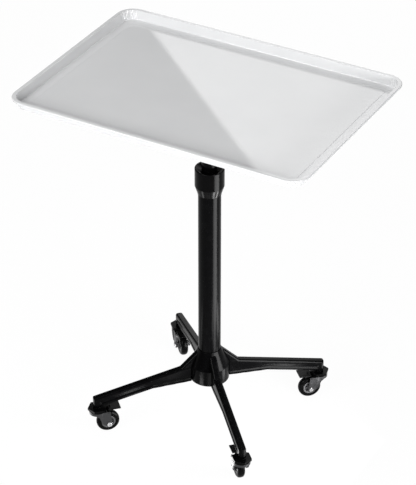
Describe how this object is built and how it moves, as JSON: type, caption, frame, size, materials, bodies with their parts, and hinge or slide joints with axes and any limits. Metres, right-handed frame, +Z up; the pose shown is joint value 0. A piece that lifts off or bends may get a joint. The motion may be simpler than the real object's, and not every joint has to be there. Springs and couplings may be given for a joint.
{
  "type": "mayo stand",
  "caption": "Mobile instrument stand: shallow rectangular tray on a height-adjustable round column with a twist collar, on spread legs with swivelling, braked casters.",
  "frame": {"origin": "on the floor, under the column's axis", "axes": "+Z up, +X along the tray's long side, +Y across it; the legs stand on the diagonals"},
  "size_m": [0.6624, 0.47, 0.8055],
  "materials": {
    "black_paint": "satin black powder coat",
    "black_plastic": "moulded, semi-gloss",
    "white_paint": "gloss white enamel",
    "bolt_steel": "zinc plated",
    "bright_steel": "bright plated",
    "alloy": "turned",
    "nylon": "natural nylon",
    "caster_black": "black plated",
    "fork_steel": "satin grey plated",
    "wheel_grey": "moulded",
    "tyre_rubber": "smooth rubber",
    "pedal_plastic": "moulded, fine grain"
  },
  "bodies": {
    "base": {"hub": "black_paint", "hub_cover": "black_plastic", "leg_screws": "bolt_steel", "leg_dowels": "bolt_steel", "column": "black_paint", "column_plug": "alloy", "tie_bolt": "bolt_steel", "tie_washer": "bolt_steel", "caster_stems": "bolt_steel", "swivel_balls": "bolt_steel", "neck_insert": "black_plastic", "collet": "nylon", "leg_left": "black_paint", "leg_front": "black_paint", "leg_right": "black_paint", "leg_back": "black_paint", "caster_flange_left": "caster_black", "caster_flange_front": "caster_black", "caster_flange_right": "caster_black", "caster_flange_back": "caster_black"},
    "collar": {"collar": "black_plastic"},
    "lift": {"guide_bush": "nylon"},
    "top": {"post": "black_paint", "post_clips": "bolt_steel", "post_head": "black_paint", "head_screws": "bolt_steel", "mount_plate": "black_paint", "stud_nuts": "bolt_steel", "tray_studs": "bolt_steel", "tray": "white_paint"},
    "swivel_left": {"fork_left": "fork_steel", "axle_bolt_left": "bolt_steel", "axle_nut_left": "bright_steel", "pedal_pin_left": "bolt_steel"},
    "wheel_left": {"wheel_left": "wheel_grey", "tyre_left": "tyre_rubber"},
    "pedal_left": {"pedal_left": "pedal_plastic"},
    "swivel_front": {"fork_front": "fork_steel", "axle_bolt_front": "bolt_steel", "axle_nut_front": "bright_steel", "pedal_pin_front": "bolt_steel"},
    "wheel_front": {"wheel_front": "wheel_grey", "tyre_front": "tyre_rubber"},
    "pedal_front": {"pedal_front": "pedal_plastic"},
    "swivel_right": {"fork_right": "fork_steel", "axle_bolt_right": "bolt_steel", "axle_nut_right": "bright_steel", "pedal_pin_right": "bolt_steel"},
    "wheel_right": {"wheel_right": "wheel_grey", "tyre_right": "tyre_rubber"},
    "pedal_right": {"pedal_right": "pedal_plastic"},
    "swivel_back": {"fork_back": "fork_steel", "axle_bolt_back": "bolt_steel", "axle_nut_back": "bright_steel", "pedal_pin_back": "bolt_steel"},
    "wheel_back": {"wheel_back": "wheel_grey", "tyre_back": "tyre_rubber"},
    "pedal_back": {"pedal_back": "pedal_plastic"}
  },
  "joints": [
    {"name": "post_lift", "type": "slide", "parent": "base", "child": "lift", "axis": [0, 0, 1], "range_m": [-0.12, 0.22]},
    {"name": "tray_turn", "type": "hinge", "parent": "lift", "child": "top", "pos_m": [0, 0, 0.6], "axis": [0, 0, 1], "continuous": true},
    {"name": "collar_twist", "type": "hinge", "parent": "base", "child": "collar", "pos_m": [0, 0, 0.59], "axis": [0, 0, 1], "range_deg": [0, 100]},
    {"name": "caster_turn_left", "type": "hinge", "parent": "base", "child": "swivel_left", "pos_m": [-0.17678, -0.17678, 0.06], "axis": [0, 0, 1], "continuous": true},
    {"name": "wheel_spin_left", "type": "hinge", "parent": "swivel_left", "child": "wheel_left", "pos_m": [-0.16122, -0.16122, 0.0255], "axis": [0.7071, -0.7071, 0], "continuous": true},
    {"name": "pedal_press_left", "type": "hinge", "parent": "swivel_left", "child": "pedal_left", "pos_m": [-0.16118, -0.16118, 0.054], "axis": [-0.7071, 0.7071, 0], "range_deg": [0, 14]},
    {"name": "caster_turn_front", "type": "hinge", "parent": "base", "child": "swivel_front", "pos_m": [0.17678, -0.17678, 0.06], "axis": [0, 0, 1], "continuous": true},
    {"name": "wheel_spin_front", "type": "hinge", "parent": "swivel_front", "child": "wheel_front", "pos_m": [0.16122, -0.16122, 0.0255], "axis": [0.7071, 0.7071, 0], "continuous": true},
    {"name": "pedal_press_front", "type": "hinge", "parent": "swivel_front", "child": "pedal_front", "pos_m": [0.16118, -0.16118, 0.054], "axis": [-0.7071, -0.7071, 0], "range_deg": [0, 14]},
    {"name": "caster_turn_right", "type": "hinge", "parent": "base", "child": "swivel_right", "pos_m": [0.17678, 0.17678, 0.06], "axis": [0, 0, 1], "continuous": true},
    {"name": "wheel_spin_right", "type": "hinge", "parent": "swivel_right", "child": "wheel_right", "pos_m": [0.16122, 0.16122, 0.0255], "axis": [-0.7071, 0.7071, 0], "continuous": true},
    {"name": "pedal_press_right", "type": "hinge", "parent": "swivel_right", "child": "pedal_right", "pos_m": [0.16118, 0.16118, 0.054], "axis": [0.7071, -0.7071, 0], "range_deg": [0, 14]},
    {"name": "caster_turn_back", "type": "hinge", "parent": "base", "child": "swivel_back", "pos_m": [-0.17678, 0.17678, 0.06], "axis": [0, 0, 1], "continuous": true},
    {"name": "wheel_spin_back", "type": "hinge", "parent": "swivel_back", "child": "wheel_back", "pos_m": [-0.16122, 0.16122, 0.0255], "axis": [-0.7071, -0.7071, 0], "continuous": true},
    {"name": "pedal_press_back", "type": "hinge", "parent": "swivel_back", "child": "pedal_back", "pos_m": [-0.16118, 0.16118, 0.054], "axis": [0.7071, 0.7071, 0], "range_deg": [0, 14]}
  ]
}
